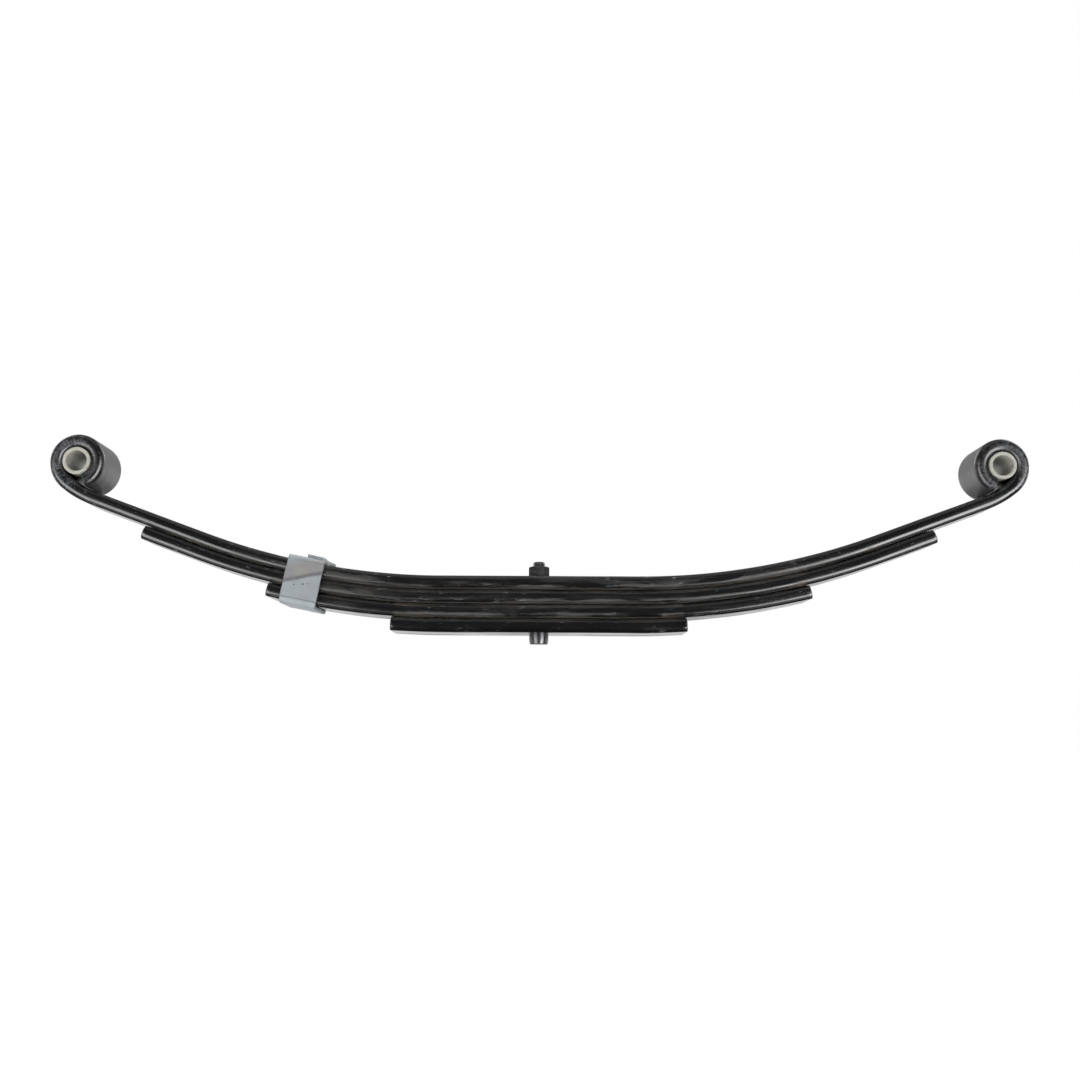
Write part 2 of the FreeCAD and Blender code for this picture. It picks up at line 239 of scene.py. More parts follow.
def grid_quads(rows, columns, closed_rows=False):
    """Faces of a grid of rows by columns that is closed around its columns, and around its rows
    too when asked.  The faces point to the left of rising columns, seen along rising rows."""
    row = np.arange(rows if closed_rows else rows - 1)[:, None]
    column = np.arange(columns)[None, :]
    after = (row + 1) % rows
    beside = (column + 1) % columns
    corners = (row * columns + column, after * columns + column,
               after * columns + beside, row * columns + beside)
    return np.stack(corners, axis=-1).reshape(-1, 4)


def ladder_cap(first, count, outwards):
    """Faces that close a loop of count points, whose second half mirrors its first.

    Each rung joins a point of the upper half to its mirror point in the lower half."""
    half = count // 2
    k = np.arange(1, half - 1)
    quads = np.stack((k, k + 1, count - k - 1, count - k), axis=1)
    ends = np.array([(0, 1, count - 1), (half - 1, half, half + 1)])
    if outwards:
        quads = quads[:, ::-1]
        ends = ends[:, ::-1]
    return first + quads, first + ends


def strip_faces(rows, columns):
    """Faces of a strip whose section is a mirrored loop, closed at both ends."""
    quads, ends = zip(ladder_cap(0, columns, False), ladder_cap((rows - 1) * columns, columns, True))
    return np.concatenate((grid_quads(rows, columns), *quads)), np.concatenate(ends)


def mirrored(across, height):
    """Whole loop of a section from its upper half: the lower half is its mirror image."""
    return np.concatenate((across, across[-2:0:-1])), np.concatenate((height, -height[-2:0:-1]))


def loop_edges(first, count):
    """The edges of a closed loop of points, as pairs."""
    k = np.arange(count)
    return first + np.stack((k, (k + 1) % count), axis=1)


def line_at(moves, start, heading, stations):
    """Points and headings of a flat line at these stations (any array shape).

    The line is made of (length, turn) moves, each a straight or an arc.  Inside a move, the
    chord from its start is the station's length times sin(a)/a, where a is half of the turn so
    far, and it points halfway through that turn."""
    knots = [(0.0, start[0], start[1], heading)]
    for length, turned in moves:
        s, x, z, angle = knots[-1]
        chord = length * np.sinc(turned / 2.0 / math.pi)
        middle = angle + turned / 2.0
        knots.append((s + length, x + chord * math.cos(middle), z + chord * math.sin(middle), angle + turned))
    knots = np.array(knots)
    curvature = np.array([turned / length for length, turned in moves])
    index = np.clip(np.searchsorted(knots[:, 0], stations, side="right") - 1, 0, len(moves) - 1)
    past = stations - knots[index, 0]
    turned = curvature[index] * past
    chord = past * np.sinc(turned / 2.0 / math.pi)
    middle = knots[index, 3] + turned / 2.0
    x = knots[index, 1] + chord * np.cos(middle)
    z = knots[index, 2] + chord * np.sin(middle)
    return x, z, knots[index, 3] + turned


def stations_along(moves, step, turn_step):
    """Stations from a line's start to its end: every step on a straight, and every turn_step or
    step, whichever is shorter, on an arc."""
    stations = [np.zeros(1)]
    start = 0.0
    for length, turned in moves:
        count = max(1, math.ceil(length / step), math.ceil(abs(turned) / turn_step))
        stations.append(start + np.linspace(0.0, length, count + 1)[1:])
        start += length
    return np.concatenate(stations)


# ---------------- leaves

def camber_moves(shape):
    """Moves of the main leaf from the bolt to the foot below the eye: straight, arc, straight.

    The arc's run is what is left of the way to the eye once the straights are taken off."""
    slope = shape.camber
    run = EYE[0] + shape.eye_rise * math.sin(slope) - shape.eye_straight * math.cos(slope) - shape.seat_half
    return [(shape.seat_half, 0.0), (run / math.sin(slope) * slope, slope), (shape.eye_straight, 0.0)]


def eye_moves(shape):
    """Moves of the whole main leaf: the camber, a gentle lead-in, a tighter throat, and the eye
    rolled about its bush until its tip nearly meets the lead-in."""
    throat = shape.throat_turn
    rise = shape.lead_radius - shape.eye_rise
    tighter = shape.lead_radius - EYE_RADIUS - shape.throat_slack
    lead = math.acos((rise - shape.throat_slack * math.cos(throat)) / tighter)
    back = shape.throat_slack * math.sin(throat) + tighter * math.sin(lead)
    outer = EYE_RADIUS + HALF_THICKNESS
    reach = math.hypot(back, rise)
    clear = shape.lead_radius - HALF_THICKNESS - shape.tip_gap
    corner = math.acos((reach ** 2 + outer ** 2 - clear ** 2) / (2.0 * reach * outer))
    roll = math.atan2(rise, -back) + corner + math.pi / 2.0 - throat
    moves = camber_moves(shape)
    moves[-1] = (moves[-1][0] - back, 0.0)
    return moves + [
        (shape.lead_radius * lead, lead),
        ((EYE_RADIUS + shape.throat_slack) * (throat - lead), throat - lead),
        (EYE_RADIUS * roll, roll),
    ]


def camber_station(shape, depth, farthest):
    """Station where a leaf this far below the main one reaches farthest along X at its lower edge."""
    moves = camber_moves(shape)
    stations = np.linspace(0.0, sum(length for length, _ in moves), 4000)
    x, _, heading = line_at(moves, (0.0, MAIN_HEIGHT), 0.0, stations)
    return float(np.interp(farthest, x + (depth + HALF_THICKNESS) * np.sin(heading), stations))


def cut_moves(moves, end):
    """The same moves, ended at a station."""
    kept = []
    start = 0.0
    for length, turned in moves:
        left = min(length, end - start)
        if left > 0.0:
            kept.append((left, turned * left / length))
        start += length
    return kept


def bar_section(shape):
    """Loop of a bar's cross-section as (y, height) arrays, from the middle of the near edge over
    the top to the far edge, and back below as its mirror image.

    It is a rounded rectangle whose narrow faces bulge by crown * (1 - (height / half)^2).  The
    flat part has points at R * sin(angle) of the bolt's hole, so that its rim is round."""
    radius = shape.edge_round
    flat_y = HALF_WIDTH - shape.edge_crown - radius
    flat_height = HALF_THICKNESS - radius
    bend = np.linspace(0.0, math.pi / 2.0, 9)
    hole = shape.hole_radius * np.sin(np.linspace(-math.pi / 2.0, math.pi / 2.0, 17))
    outer = np.linspace(-flat_y, -shape.hole_radius, 7)[1:-1]
    wall = np.linspace(0.0, flat_height, 4)[:-1]
    near_y = np.concatenate((np.full_like(wall, -flat_y - radius), -flat_y - radius * np.cos(bend), outer))
    near_height = np.concatenate((wall, flat_height + radius * np.sin(bend),
                                  np.full_like(outer, HALF_THICKNESS)))
    y = np.concatenate((near_y, hole, -near_y[::-1]))
    height = np.concatenate((near_height, np.full_like(hole, HALF_THICKNESS), near_height[::-1]))
    y = y + np.sign(y) * shape.edge_crown * (1.0 - (height / HALF_THICKNESS) ** 2) * (abs(y) > flat_y)
    return mirrored(y, height)


def rolled_ripple(shape, stations, angle, phase):
    """Slow unevenness of a rolled bar: three sines of the way along it and around it."""
    waves = ((61.0, 1.0, 0.5), (143.0, 2.0, 0.3), (317.0, 3.0, 0.2))
    total = 0.0
    for number, (rate, turns, amount) in enumerate(waves):
        total = total + amount * np.sin(rate * stations + turns * angle + phase * (number + 1.7))
    return shape.ripple * total


def leaf_half(name, moves, depth, material, hand, phase):
    """One half of a leaf, from the bolt's axis to its tip, on the rear (+1) or front (-1) side.

    Point = line(s) + (height - depth) * normal(s), beside it by y: the cross-section is carried
    along the camber line.  Its first rows start at sqrt(R^2 - y^2), which leaves half of the
    bolt's hole, and its last rows shrink in a quarter round of bevel."""
    shape = bpy.context.scene.leaf_spring_shape
    y, height = bar_section(shape)
    along = stations_along(moves, 0.003, math.radians(3.0))
    end = along[-1]
    bevel = shape.cut_bevel
    quarter = np.linspace(0.0, math.pi / 2.0, 5)
    along = np.concatenate((along[along < end - 2.0 * bevel], end - bevel + bevel * np.sin(quarter)))
    whole = np.zeros(len(along) - len(quarter))
    shrink = np.concatenate((whole, bevel * (1.0 - np.cos(quarter))))[:, None]
    notch = np.sqrt(np.clip(shape.hole_radius ** 2 - y ** 2, 0.0, None))[None, :]
    free = 3.0 * shape.hole_radius
    stations = along[:, None] + notch * np.clip(1.0 - along[:, None] / free, 0.0, 1.0)
    angle = np.arctan2(height, y)[None, :]
    swell = rolled_ripple(shape, stations, angle, phase) - shrink
    side = y[None, :] + np.sign(y)[None, :] * swell * (abs(y) > HALF_WIDTH - shape.edge_round)
    lift = height[None, :] + swell * height[None, :] / HALF_THICKNESS
    x, z, heading = line_at(moves, (0.0, MAIN_HEIGHT), 0.0, stations)
    x = x - (lift - depth) * np.sin(heading)
    z = z + (lift - depth) * np.cos(heading)
    points = np.stack((hand * x, hand * side, z), axis=-1).reshape(-1, 3)
    flat = np.stack((hand * stations, hand * side, lift), axis=-1).reshape(-1, 3)
    rows, columns = stations.shape
    sharp = np.concatenate((loop_edges(0, columns), loop_edges((rows - 1) * columns, columns)))
    return make_piece(name, points, *strip_faces(rows, columns), material, flat, sharp)


# ---------------- turned parts

def lathe(name, radius, height, material, place=(0.0, 0.0, 0.0), axis="Z", ring=False):
    """Surface of revolution, from radius and height arrays of (rows, steps around).

    Point = (radius * cos(a), radius * sin(a), height), with a going once around.  An open
    profile is closed by a point on the axis at each end; a ring's profile closes on itself."""
    rows, columns = radius.shape
    angle = np.arange(columns) / columns * 2.0 * math.pi
    points = np.stack((radius * np.cos(angle), radius * np.sin(angle), height), axis=-1).reshape(-1, 3)
    quads = grid_quads(rows, columns, ring)[:, ::-1]
    triangles = np.empty((0, 3), int)
    if not ring:
        low, high = len(points), len(points) + 1
        ends = np.array([(0.0, 0.0, height[0].mean()), (0.0, 0.0, height[-1].mean())])
        points = np.concatenate((points, ends))
        k = np.arange(columns)
        after = (k + 1) % columns
        last = (rows - 1) * columns
        bottom = np.stack((np.full(columns, low), after, k), axis=1)
        top = np.stack((np.full(columns, high), last + k, last + after), axis=1)
        triangles = np.concatenate((bottom, top))
    if axis == "Y":
        points = points[:, (0, 2, 1)]
        points[:, 2] *= -1.0
    return make_piece(name, points + np.asarray(place), quads, triangles, material)


def rounded(corners, steps):
    """Profile through (distance, height, rounding) corners, as two arrays.

    Each corner is a curve a*(1-t)^2 + 2*corner*t*(1-t) + b*t^2 between the points that lie the
    rounding away from it on its two sides."""
    corners = np.array(corners)
    spot = corners[:, :2]
    reach = corners[:, 2:]
    t = np.linspace(0.0, 1.0, steps)[None, :, None]
    back = np.roll(spot, 1, axis=0) - spot
    on = np.roll(spot, -1, axis=0) - spot
    back = spot + back / np.linalg.norm(back, axis=1, keepdims=True) * reach
    on = spot + on / np.linalg.norm(on, axis=1, keepdims=True) * reach
    curve = back[:, None] * (1.0 - t) ** 2 + 2.0 * spot[:, None] * t * (1.0 - t) + on[:, None] * t ** 2
    profile = curve.reshape(-1, 2)
    return profile[:, 0], profile[:, 1]


def bushing(name, hand, material):
    """Plastic bush: a ring whose section is a rectangle with softened corners and a wider bell
    at each mouth of the bore."""
    half = (BUSH_HIGH[1] - BUSH_LOW[1]) / 2.0
    soft = 0.7 * MM
    radius, height = rounded([
        (BUSH_RADIUS, -half, soft), (BUSH_RADIUS, half, soft),
        (BORE_RADIUS, half, 1.3 * soft), (BORE_RADIUS, -half, 1.3 * soft),
    ], steps=9)
    around = np.ones((1, 144))
    return lathe(name, radius[:, None] * around, height[:, None] * around, material,
                 (hand * EYE[0], 0.0, EYE[2]), axis="Y", ring=True)


def bolt(name, material):
    """Centre bolt: tapered round head, plain shank and a threaded point.

    The thread is radius - depth * |saw|, where saw is a triangle wave of height / pitch less one
    turn of the angle, and its last turn comes in towards the point."""
    shape = bpy.context.scene.leaf_spring_shape
    foot = BOLT_LOW[2]
    top = BOLT_HIGH[2]
    steps = 7
    head_radius, head_height = rounded([
        (0.0, foot, 0.0), (HEAD_RADIUS - shape.head_taper, foot, 0.8 * MM),
        (HEAD_RADIUS, -HEAD_STRAIGHT, 0.6 * MM), (HEAD_RADIUS, 0.2 * MM, 0.3 * MM),
        (shape.shank_radius, 0.2 * MM, 0.2 * MM),
    ], steps)
    # The first corner lies on the axis, where the lathe closes the surface.
    head_radius, head_height = head_radius[steps:], head_height[steps:]
    columns = 128
    angle = np.arange(columns) / columns
    # The thread starts inside the nut and runs up to the point, which takes the last of the height.
    point = 0.55 * MM
    rise = np.arange(NUT_HIGH[2] - 1.5 * MM, top - point, 0.06 * MM)[:, None]
    saw = abs(((rise / shape.thread_pitch - angle) % 1.0) * 2.0 - 1.0)
    outside = shape.thread_radius - shape.thread_depth * saw
    fade = np.clip((rise - top + 2.0 * point) / point, 0.0, 1.0)
    outside = outside - 0.35 * MM * fade ** 2
    rim = (np.array([3.88, 3.6, 3.1, 1.5]) * MM)[:, None]
    rim_height = (top - np.array([0.3, 0.1, 0.0, 0.0]) * MM)[:, None]
    around = np.ones((1, columns))
    radius = np.concatenate((head_radius[:, None] * around, outside, rim * around))
    height = np.concatenate((head_height[:, None] * around, rise * around, rim_height * around))
    return lathe(name, radius, height, material)


def nut(name, material):
    """Hexagon nut with turned-down corners.

    The side is a hexagon with slightly soft corners, radius = flat / (sum of |cos(a - side)|^p)
    ^(1/p), and above and below it a 30 degree cone comes in to the round face."""
    shape = bpy.context.scene.leaf_spring_shape
    low, high = NUT_LOW[2], NUT_HIGH[2]
    flat = NUT_HIGH[0]
    face = shape.nut_face
    hole = shape.shank_radius + 0.05 * MM
    columns = 240
    angle = np.arange(columns) / columns * 2.0 * math.pi
    sides = np.arange(6) * math.pi / 3.0
    power = 90.0
    shadow = np.clip(np.cos(angle[:, None] - sides), 0.0, None) ** power
    outer = flat / shadow.sum(axis=1) ** (1.0 / power)
    fall = (outer - face) * math.tan(math.radians(30.0))
    soft = 0.12 * MM
    # Its lower half as (radius, height above the foot); the upper half is the mirror image.
    lower = ((hole, 0.5 * MM), (hole + 0.5 * MM, 0.0), (face - soft, 0.0), (face + soft, soft * 0.5),
             (outer - soft, fall - soft * 0.5), (outer, fall + soft))
    rows = [(far, low + up) for far, up in lower] + [(far, high - up) for far, up in reversed(lower)]
    radius, height = (np.stack([row[index] + np.zeros(columns) for row in rows]) for index in (0, 1))
    return lathe(name, radius, height, material, ring=True)


# ---------------- rebound clip

def clip(name, material):
    """Bent strap round the three upper leaves, with its flaps lapped on the main leaf.

    A thin rounded section is carried along a line of straights and quarter turns in the plane
    across the leaf.  Each edge of the upper flap comes in by its share of the taper."""
    shape = bpy.context.scene.leaf_spring_shape
    thick = shape.clip_thickness
    bend = shape.clip_bend
    inner_half = HALF_WIDTH + shape.clip_side_gap
    inner_height = 2.0 * PITCH + THICKNESS + shape.clip_top_gap
    corner = (math.pi / 2.0 * (bend + thick / 2.0), math.pi / 2.0)
    leg = inner_height - 2.0 * bend
    moves = [
        (shape.clip_lower_flap, 0.0), corner, (leg, 0.0), corner,
        (2.0 * (inner_half - bend), 0.0), corner, (leg + thick + shape.clip_lap_gap, 0.0), corner,
        (2.0 * inner_half - bend - shape.clip_upper_short, 0.0),
    ]
    start = (shape.clip_lower_flap - inner_half + bend, inner_height + thick / 2.0)
    stations = stations_along(moves, 0.0012, math.radians(9.0))
    soft = 0.4 * MM
    extra = np.array((soft * 0.3, soft))
    stations = np.unique(np.concatenate((stations, extra, stations[-1] - extra)))[:, None]
    end = stations[-1, 0]
    edge = np.clip(np.minimum(stations, end - stations) / soft, 0.0, 1.0)
    shrink = soft * (1.0 - np.sqrt(1.0 - (1.0 - edge) ** 2))
    turned = np.linspace(0.0, math.pi / 2.0, 5)
    across_flat = np.linspace(-1.0, 1.0, 15)[1:-1]
    corner_in = soft / (shape.clip_width / 2.0)
    near = np.concatenate(([-1.0], -1.0 + corner_in * (1.0 - np.cos(turned))))
    thick_near = np.concatenate(([0.0], thick / 2.0 - soft + soft * np.sin(turned)))
    across = np.concatenate((near, across_flat * (1.0 - corner_in), -near[::-1]))
    deep = np.concatenate((thick_near, np.full_like(across_flat, thick / 2.0), thick_near[::-1]))
    across, deep = (loop[None, :] for loop in mirrored(across, deep))
    spread, rise, heading = line_at(moves, start, math.pi, stations)
    tip = -inner_half + shape.clip_upper_short
    narrow = np.clip((tip + shape.clip_tongue + shape.clip_taper - spread) / shape.clip_taper, 0.0, 1.0)
    narrow = narrow * (stations > end - (shape.clip_tongue + shape.clip_taper) * 1.2)
    half = shape.clip_width / 2.0
    low = -half + narrow * (half - shape.clip_tip_width / 2.0 - shape.clip_tip_shift)
    high = half + narrow * (shape.clip_tip_width / 2.0 - shape.clip_tip_shift - half)
    waver = 0.12 * MM * (np.sin(stations * 410.0) + np.sin(stations * 173.0 + 1.0))
    beside = low + (across + 1.0) / 2.0 * (high - low) + waver * abs(across) ** 3
    dent = 0.1 * MM * np.sin(190.0 * stations + 2.0) * np.sin(240.0 * beside + 0.6)
    depth = deep * (1.0 - shrink / (thick / 2.0)) + dent
    spread = spread - depth * np.sin(heading)
    rise = rise + depth * np.cos(heading)
    leaf_3_end = camber_station(shape, 2.0 * PITCH, leaf_box("leaf_3_rear")[1][0])
    middle = np.array(leaf_3_end - shape.clip_setback)
    x, z, slope = line_at(camber_moves(shape), (0.0, MAIN_HEIGHT), 0.0, middle)
    foot_depth = 2.0 * PITCH + HALF_THICKNESS
    foot_x = x + foot_depth * math.sin(slope)
    foot_z = z - foot_depth * math.cos(slope)
    out = -beside * math.cos(slope) + rise * math.sin(slope) - foot_x
    up = beside * math.sin(slope) + rise * math.cos(slope) + foot_z
    points = np.stack((out, spread, up), axis=-1).reshape(-1, 3)
    flat = np.stack((stations + 0.0 * beside, beside, depth), axis=-1).reshape(-1, 3)
    return make_piece(name, points, *strip_faces(*beside.shape), material, flat)


# ---------------- materials

def scaled(colour, factor):
    """A colour made brighter or darker."""
    return tuple(channel * factor for channel in colour)


class Nodes:
    """Nodes of a tree, added one by one.  An input that is a socket is linked, and any other
    value is set on the node itself."""

    def __init__(self, tree):
        self.tree = tree

    def add(self, kind, inputs, **settings):
        node = self.tree.nodes.new("ShaderNode" + kind)
        for key, value in settings.items():
            setattr(node, key, value)
        self.fill(node, inputs)
        return node

    def fill(self, node, inputs):
        for key, value in inputs.items():
            if isinstance(value, bpy.types.NodeSocket):
                self.tree.links.new(value, node.inputs[key])
            else:
                node.inputs[key].default_value = value

    def calc(self, operation, first, second=0.0):
        return self.add("Math", {0: first, 1: second}, operation=operation).outputs[0]

    def ramp(self, value, low, high, to_low=0.0, to_high=1.0):
        """Smooth step of a value from low to high."""
        inputs = {"Value": value, "From Min": low, "From Max": high, "To Min": to_low, "To Max": to_high}
        return self.add("MapRange", inputs, interpolation_type="SMOOTHSTEP").outputs["Result"]

    def sum_of(self, *values):
        return reduce(lambda total, value: self.calc("ADD", total, value), values)

    def product(self, *values):
        return reduce(lambda total, value: self.calc("MULTIPLY", total, value), values)

    def largest(self, *values):
        return reduce(lambda total, value: self.calc("MAXIMUM", total, value), values)

    def band(self, value, start, full, fall, end):
        """1 from full to fall, and fading to 0 at the start and at the end."""
        return self.product(self.ramp(value, start, full), self.ramp(value, end, fall))

    def size(self, value):
        """A value without its sign."""
        return self.calc("ABSOLUTE", value)

    def parts(self, vector):
        node = self.add("SeparateXYZ", {"Vector": vector})
        return node.outputs["X"], node.outputs["Y"], node.outputs["Z"]

    def length(self, vector):
        return self.add("VectorMath", {0: vector}, operation="LENGTH").outputs["Value"]


class Recipe(Nodes):
    """A material's nodes, which end in its one shader."""

    def __init__(self, name):
        self.material = bpy.data.materials.new(name)
        self.material.use_nodes = True
        super().__init__(self.material.node_tree)
        self.shader = self.tree.nodes["Principled BSDF"]

    def surface(self, **inputs):
        """Sets the shader's sockets, with _ for the spaces in their names."""
        self.fill(self.shader, {key.replace("_", " "): value for key, value in inputs.items()})

    def place(self):
        """The piece's own coordinates, in metres."""
        return self.add("TexCoord", {}).outputs["Object"]

    def flat(self):
        """Coordinates of the unbent bar or strap: along it, across it and through it."""
        return self.add("Attribute", {}, attribute_name="flat").outputs["Vector"]

    def stretched(self, vector, scale, location=(0.0, 0.0, 0.0)):
        return self.add("Mapping", {"Vector": vector, "Scale": scale, "Location": location}).outputs["Vector"]

    def noise(self, vector, scale, detail, roughness, distortion=0.0):
        """Noise at one scale, or at three scales along the axes."""
        if isinstance(scale, tuple):
            vector, scale = self.stretched(vector, scale), 1.0
        inputs = {"Vector": vector, "Scale": scale, "Detail": detail, "Roughness": roughness,
                  "Distortion": distortion}
        return self.add("TexNoise", inputs).outputs["Fac"]

    def spot(self, vector, centre, radii):
        """1 near a centre and 0 outside an ellipsoid with these radii."""
        scale = [1.0 / radius for radius in radii]
        location = [-middle / radius for middle, radius in zip(centre, radii)]
        return self.ramp(self.length(self.stretched(vector, scale, location)), 1.0, 0.35)

    def layers(self, base, *layers):
        """A base colour with layers over it, each an amount from 0 to 1 and a colour."""
        for amount, colour in layers:
            pair = [value if isinstance(value, bpy.types.NodeSocket) else (*value, 1.0)
                    for value in (base, colour)]
            base = self.add("Mix", {0: amount, 6: pair[0], 7: pair[1]}, data_type="RGBA").outputs[2]
        return base

    def bump(self, height, strength, distance, normal=None):
        inputs = {"Height": height, "Strength": strength, "Distance": distance}
        if normal is not None:
            inputs["Normal"] = normal
        return self.add("Bump", inputs).outputs["Normal"]


def enamel(name, seams, seam_reach, cut_end, eye_start, offset, haze):
    """Glossy black enamel on a rolled bar, with dust packed into the seams and smeared near
    them, rubbed brown patches, hairline scratches, a rubbed cut end, and wrinkles and a duller
    barrel where the bar is rolled into an eye.  The dust in the grooves is also painted lighter,
    as painted light that lifts the grooves' shade, and the lighter cut end is partly a painted
    highlight.

    Seams say whether a leaf lies above and below, and they end at the station seam_reach.  The
    offset moves the pattern along the leaf, and haze is the thin dust on the leaf's middle."""
    seam_above, seam_below = seams
    finish = bpy.context.scene.leaf_spring_finish
    r = Recipe(name)
    flat = r.flat()
    shifted = r.stretched(flat, (1.0, 1.0, 1.0), (offset, 0.0, 0.0))
    along, across, height = r.parts(flat)
    along = r.size(along)
    edge = r.ramp(r.size(across), HALF_WIDTH - 2.6 * MM, HALF_WIDTH - 0.4 * MM)
    streak = r.noise(shifted, (22.0, 120.0, 420.0), 4.0, 0.6, 0.4)
    cloud = r.noise(shifted, (28.0, 60.0, 70.0), 3.0, 0.55, 0.6)
    patch = r.noise(shifted, (26.0, 60.0, 300.0), 5.0, 0.62, 0.15)
    grain = r.noise(shifted, 420.0, 2.0, 0.5)
    dashes = r.noise(shifted, (160.0, 900.0, 1500.0), 1.0, 0.4)
    touching = r.ramp(along, seam_reach, seam_reach - 0.004)
    near_middle = r.ramp(along, 0.25, 0.12)
    packed, loose = [], []
    if seam_above:
        packed.append(r.ramp(height, HALF_THICKNESS * 0.72, HALF_THICKNESS * 0.95))
        loose.append(r.ramp(height, HALF_THICKNESS * 0.3, HALF_THICKNESS * 0.8))
    if seam_below:
        packed.append(r.ramp(height, -HALF_THICKNESS * 0.72, -HALF_THICKNESS * 0.95))
        loose.append(r.ramp(height, -HALF_THICKNESS * 0.15, -HALF_THICKNESS * 0.6))
    seam = r.product(r.sum_of(*loose), touching)
    # Dust packed into the grooves between leaves; this mask also carries the painted fill light below.
    groove_dust_and_fill_light = r.product(r.sum_of(*packed), touching, r.ramp(patch, 0.40, 0.5, 0.35, 0.95))
    film = r.sum_of(r.product(seam, r.ramp(along, 0.30, 0.14, 0.4, 0.9)), r.product(near_middle, haze))
    # A smear of dust on the near edge, between the clip and the bolt.
    smear_place, smear_radii = (-0.130, -0.022, 0.036), (0.032, 0.02, 0.026)
    smear = r.product(r.spot(r.place(), smear_place, smear_radii), r.ramp(streak, 0.3, 0.6, 0.3, 0.75),
                      r.ramp(patch, 0.42, 0.52, 0.3, 1.0))
    dusty = r.product(r.ramp(streak, 0.36, 0.6), film, r.ramp(patch, 0.40, 0.56, 0.12, 1.0))
    dusty = r.largest(dusty, groove_dust_and_fill_light, smear)
    rub = r.product(seam, r.ramp(cloud, 0.48, 0.62), r.ramp(along, seam_reach * 0.7, seam_reach * 0.9))
    # Paint at the cut end, scuffed and a little lighter, partly as a painted highlight on the tip.
    cut = r.ramp(along, cut_end - 0.0009, cut_end - 0.0002)
    lines = r.product(r.ramp(dashes, 0.67, 0.74), r.ramp(cloud, 0.42, 0.6))
    wrinkle_field = r.noise(shifted, (1500.0, 300.0, 260.0), 2.0, 0.6, 0.8)
    curled = r.product(r.ramp(along, eye_start, eye_start + 0.012), edge)
    wrinkle = r.product(r.ramp(wrinkle_field, 0.45, 0.68), curled, r.ramp(cloud, 0.35, 0.55))
    # The second layer paints the packed dust 2.6 times lighter: painted light that lifts the shade deep in
    # the grooves.
    paint = r.layers(
        finish.paint, (dusty, finish.dust), (groove_dust_and_fill_light, scaled(finish.dust, 2.6)),
        (r.product(rub, 0.7), finish.rust), (r.product(lines, 0.8), finish.scuff),
        (r.product(wrinkle, 0.5), finish.scuff), (r.product(cut, 0.12), finish.scuff))
    clean = finish.paint_roughness
    barrel = r.ramp(along, eye_start + 0.01, eye_start + 0.03, 0.0, 0.12)
    rough = r.sum_of(r.ramp(cloud, 0.35, 0.7, clean, clean + 0.1), r.product(dusty, 0.32),
                     r.product(rub, 0.3), r.product(wrinkle, 0.15), r.product(cut, 0.4), barrel)
    normal = r.bump(grain, 0.05, 0.00004)
    normal = r.bump(streak, 0.2, 0.0001, normal)
    normal = r.bump(r.product(wrinkle_field, curled), 0.5, 0.0002, normal)
    r.surface(Base_Color=paint, Roughness=rough, Normal=normal, IOR=1.8)
    return r.material


def zinc_plate(name):
    """Dull zinc plate on the clip, with a warm stain on the near leg, small dents and scratches,
    and painted shade darkening its cut edges and the crease at the foot of the leg.

    The stain's and the pits' places are distances down that leg from its upper bend."""
    finish = bpy.context.scene.leaf_spring_finish
    shape = bpy.context.scene.leaf_spring_shape
    r = Recipe(name)
    flat = r.flat()
    along, across, _ = r.parts(flat)
    top = shape.clip_lower_flap + math.pi / 2.0 * (shape.clip_bend + shape.clip_thickness / 2.0)
    cloud = r.noise(flat, 95.0, 4.0, 0.6, 0.5)
    mottle = r.noise(flat, 520.0, 3.0, 0.6)
    scratches = r.noise(flat, (260.0, 2600.0, 260.0), 2.0, 0.5, 0.3)
    slanted = r.sum_of(along, r.product(across, -0.4), r.product(cloud, 0.004))
    stained = r.band(slanted, top - 0.004, top + 0.002, top + 0.0115, top + 0.0135)
    rim = r.product(r.band(slanted, top + 0.0095, top + 0.0122, top + 0.0125, top + 0.0145),
                    r.ramp(cloud, 0.38, 0.55))
    yellowed = r.spot(flat, (top + 0.007, 0.001, 0.0), (0.005, 0.008, 0.01))
    pits = ((0.0148, -0.0012, 0.0011, 0.0012), (0.0162, 0.0046, 0.0008, 0.0009),
            (0.0139, -0.0043, 0.0006, 0.0008))
    dots = r.sum_of(*(r.spot(flat, (top + down, aside, 0.0), (tall, wide, 0.01))
                      for down, aside, tall, wide in pits))
    half = shape.clip_width / 2.0
    # Painted shade along the strap's cut edges and on the crease at the foot of the leg.
    edge_shadow = r.ramp(r.size(across), half - 0.0006, half - 0.0001)
    foot = top + 2.0 * PITCH + THICKNESS + shape.clip_top_gap - 2.0 * shape.clip_bend - 0.0004
    crease = r.band(along, foot - 0.0005, foot, foot, foot + 0.0005)
    zinc = r.layers(
        finish.zinc, (r.ramp(cloud, 0.35, 0.7), scaled(finish.zinc, 1.14)),
        (r.product(r.ramp(mottle, 0.5, 0.75), 0.25), finish.zinc_bright),
        (r.product(stained, r.ramp(cloud, 0.3, 0.6, 0.4, 0.95)), finish.zinc_stain),
        (r.product(stained, yellowed, 0.5), finish.zinc_yellow),
        (r.product(rim, 0.75), finish.zinc_rim),
        (r.product(r.largest(edge_shadow, crease), 0.6), finish.edge_shade),
        (r.product(dots, 0.75), finish.pit),
        (r.product(r.ramp(scratches, 0.68, 0.76), 0.4), finish.zinc_scratch))
    normal = r.bump(mottle, 0.25, 0.00008)
    normal = r.bump(cloud, 0.5, 0.0006, normal)
    rough = r.ramp(cloud, 0.3, 0.7, 0.4, 0.56)
    r.surface(Base_Color=zinc, Roughness=rough, Normal=normal, Metallic=0.25)
    return r.material


